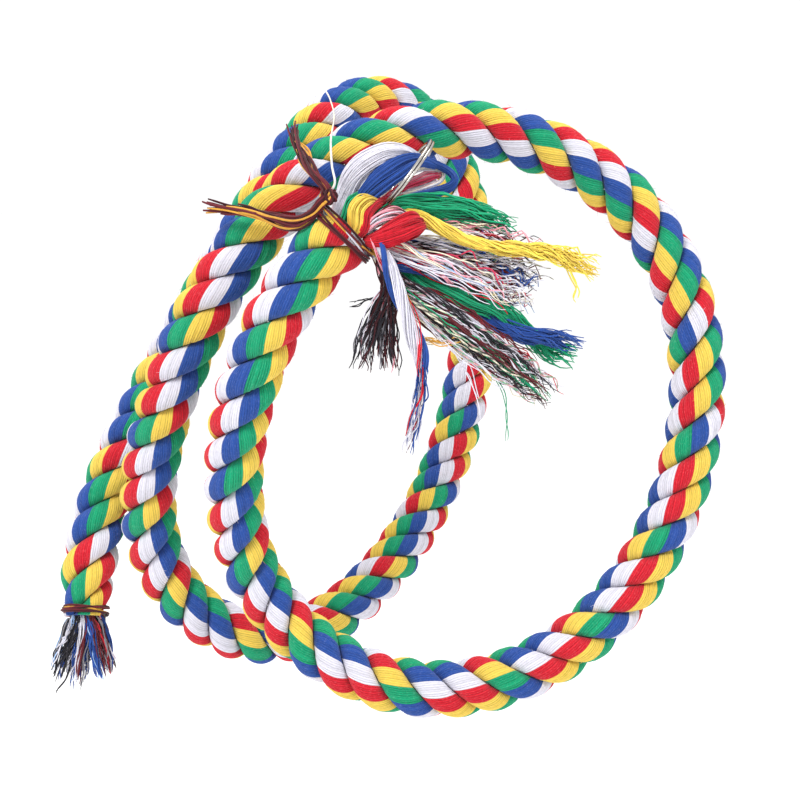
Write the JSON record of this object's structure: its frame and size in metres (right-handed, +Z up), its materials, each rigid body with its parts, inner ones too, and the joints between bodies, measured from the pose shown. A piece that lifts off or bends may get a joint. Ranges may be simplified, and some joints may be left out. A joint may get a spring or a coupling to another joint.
{
  "type": "spiral rope perch",
  "caption": "Spiral bird perch of multicoloured three-strand cotton rope on a bendable wire core, bound at one frayed end to a steel split ring that it hangs from.",
  "frame": {"origin": "centre of the hanger ring", "axes": "+Z up as the perch hangs, -Y towards the viewer of the front loop, +X to the viewer's right"},
  "size_m": [0.2676, 0.2196, 0.2474],
  "materials": {
    "rope_yarn": "soft spun cotton yarn, laid in bands of red, white, blue, green and yellow, slightly fuzzy",
    "core_wire": "annealed steel wire, dull",
    "ring_steel": "polished nickel-plated steel wire",
    "tie_thread": "thin twisted maroon and golden thread",
    "white_yarn": "white cotton yarn with blue, twisted",
    "red_yarn": "red cotton yarn, untwisted",
    "green_yarn": "green cotton yarn, untwisted",
    "yellow_yarn": "yellow cotton yarn, frayed at its end",
    "blue_yarn": "blue cotton yarn, untwisted",
    "pink_yarn": "pale pink and white cotton yarn",
    "filler_yarn": "mixed recycled filler yarn, black, white, maroon and blue fibres"
  },
  "bodies": {
    "coil_1": {"strand_a_1": "rope_yarn", "strand_b_1": "rope_yarn", "strand_c_1": "rope_yarn", "core_wire_1": "core_wire", "tie_band": "tie_thread", "tie_knot": "tie_thread", "tie_tail_left": "tie_thread", "tie_tail_up": "tie_thread", "white_thread": "white_yarn", "yarn_white_blue": "white_yarn", "yarn_blue_loop": "blue_yarn", "yarn_green_yellow_red": "green_yarn", "yarn_red": "red_yarn", "yarn_green_upper": "green_yarn", "yarn_yellow": "yellow_yarn", "yarn_blue": "blue_yarn", "yarn_green_lower": "green_yarn", "yarn_pink": "pink_yarn", "filler_upper": "filler_yarn", "filler_lower": "filler_yarn", "filler_dark": "filler_yarn"},
    "coil_2": {"strand_a_2": "rope_yarn", "strand_b_2": "rope_yarn", "strand_c_2": "rope_yarn", "core_wire_2": "core_wire"},
    "coil_3": {"strand_a_3": "rope_yarn", "strand_b_3": "rope_yarn", "strand_c_3": "rope_yarn", "core_wire_3": "core_wire"},
    "coil_4": {"strand_a_4": "rope_yarn", "strand_b_4": "rope_yarn", "strand_c_4": "rope_yarn", "core_wire_4": "core_wire"},
    "coil_5": {"strand_a_5": "rope_yarn", "strand_b_5": "rope_yarn", "strand_c_5": "rope_yarn", "core_wire_5": "core_wire"},
    "coil_6": {"strand_a_6": "rope_yarn", "strand_b_6": "rope_yarn", "strand_c_6": "rope_yarn", "core_wire_6": "core_wire"},
    "coil_7": {"strand_a_7": "rope_yarn", "strand_b_7": "rope_yarn", "strand_c_7": "rope_yarn", "core_wire_7": "core_wire"},
    "coil_8": {"strand_a_8": "rope_yarn", "strand_b_8": "rope_yarn", "strand_c_8": "rope_yarn", "core_wire_8": "core_wire"},
    "coil_9": {"strand_a_9": "rope_yarn", "strand_b_9": "rope_yarn", "strand_c_9": "rope_yarn", "core_wire_9": "core_wire", "end_b_tie_band": "tie_thread", "frayed_end_b_left": "filler_yarn", "frayed_end_b_right": "filler_yarn"},
    "ring": {"hanger_ring": "ring_steel"},
    "loose_strand": {"loose_strand": "white_yarn"}
  },
  "joints": [
    {"name": "coil_twist_1", "type": "hinge", "parent": "coil_1", "child": "coil_2", "pos_m": [-0.05238, 0.01771, -0.16048], "axis": [-0.5119, -0.076, 0.8557], "range_deg": [0, 15], "stiffness_Nm_per_rad": 3.7},
    {"name": "coil_twist_2", "type": "hinge", "parent": "coil_2", "child": "coil_3", "pos_m": [0.08824, 0.02318, -0.16065], "axis": [-0.63, -0.2167, -0.7457], "range_deg": [0, 15], "stiffness_Nm_per_rad": 3.7},
    {"name": "coil_twist_3", "type": "hinge", "parent": "coil_3", "child": "coil_4", "pos_m": [0.08954, 0.04423, -0.01142], "axis": [0.7014, 0.0466, -0.7113], "range_deg": [0, 15], "stiffness_Nm_per_rad": 3.7},
    {"name": "coil_twist_4", "type": "hinge", "parent": "coil_4", "child": "coil_5", "pos_m": [-0.05287, 0.0138, -0.01838], "axis": [0.6434, 0.1458, 0.7515], "range_deg": [0, 15], "stiffness_Nm_per_rad": 3.7},
    {"name": "coil_twist_5", "type": "hinge", "parent": "coil_5", "child": "coil_6", "pos_m": [-0.0937, 0.04804, -0.16531], "axis": [-0.428, -0.2929, 0.855], "range_deg": [0, 15], "stiffness_Nm_per_rad": 3.7},
    {"name": "coil_twist_6", "type": "hinge", "parent": "coil_6", "child": "coil_7", "pos_m": [0.01375, 0.1358, -0.15034], "axis": [-0.4175, -0.5427, -0.7288], "range_deg": [0, 15], "stiffness_Nm_per_rad": 3.7},
    {"name": "coil_twist_7", "type": "hinge", "parent": "coil_7", "child": "coil_8", "pos_m": [0.02405, 0.17032, 0.00151], "axis": [0.3843, 0.2669, -0.8838], "range_deg": [0, 15], "stiffness_Nm_per_rad": 3.7},
    {"name": "coil_twist_8", "type": "hinge", "parent": "coil_8", "child": "coil_9", "pos_m": [-0.06923, 0.08154, -0.03087], "axis": [0.4837, 0.3093, 0.8188], "range_deg": [0, 15], "stiffness_Nm_per_rad": 3.7},
    {"name": "ring_swing", "type": "hinge", "parent": "coil_1", "child": "ring", "pos_m": [-0.00539, -0.01367, -0.00822], "axis": [-0.5292, 0.5804, -0.6189], "range_deg": [0, 15]},
    {"name": "loose_strand_swing", "type": "hinge", "parent": "coil_1", "child": "loose_strand", "pos_m": [-0.0061, -0.0264, -0.022], "axis": [0, 0.9848, -0.1736], "range_deg": [-15, 15], "stiffness_Nm_per_rad": 0.02}
  ],
  "couplings": [
    {"joint": "coil_twist_2", "follows": "coil_twist_1", "ratio": 1},
    {"joint": "coil_twist_3", "follows": "coil_twist_1", "ratio": 1},
    {"joint": "coil_twist_4", "follows": "coil_twist_1", "ratio": 1},
    {"joint": "coil_twist_5", "follows": "coil_twist_1", "ratio": 1},
    {"joint": "coil_twist_6", "follows": "coil_twist_1", "ratio": 1},
    {"joint": "coil_twist_7", "follows": "coil_twist_1", "ratio": 1},
    {"joint": "coil_twist_8", "follows": "coil_twist_1", "ratio": 1}
  ]
}
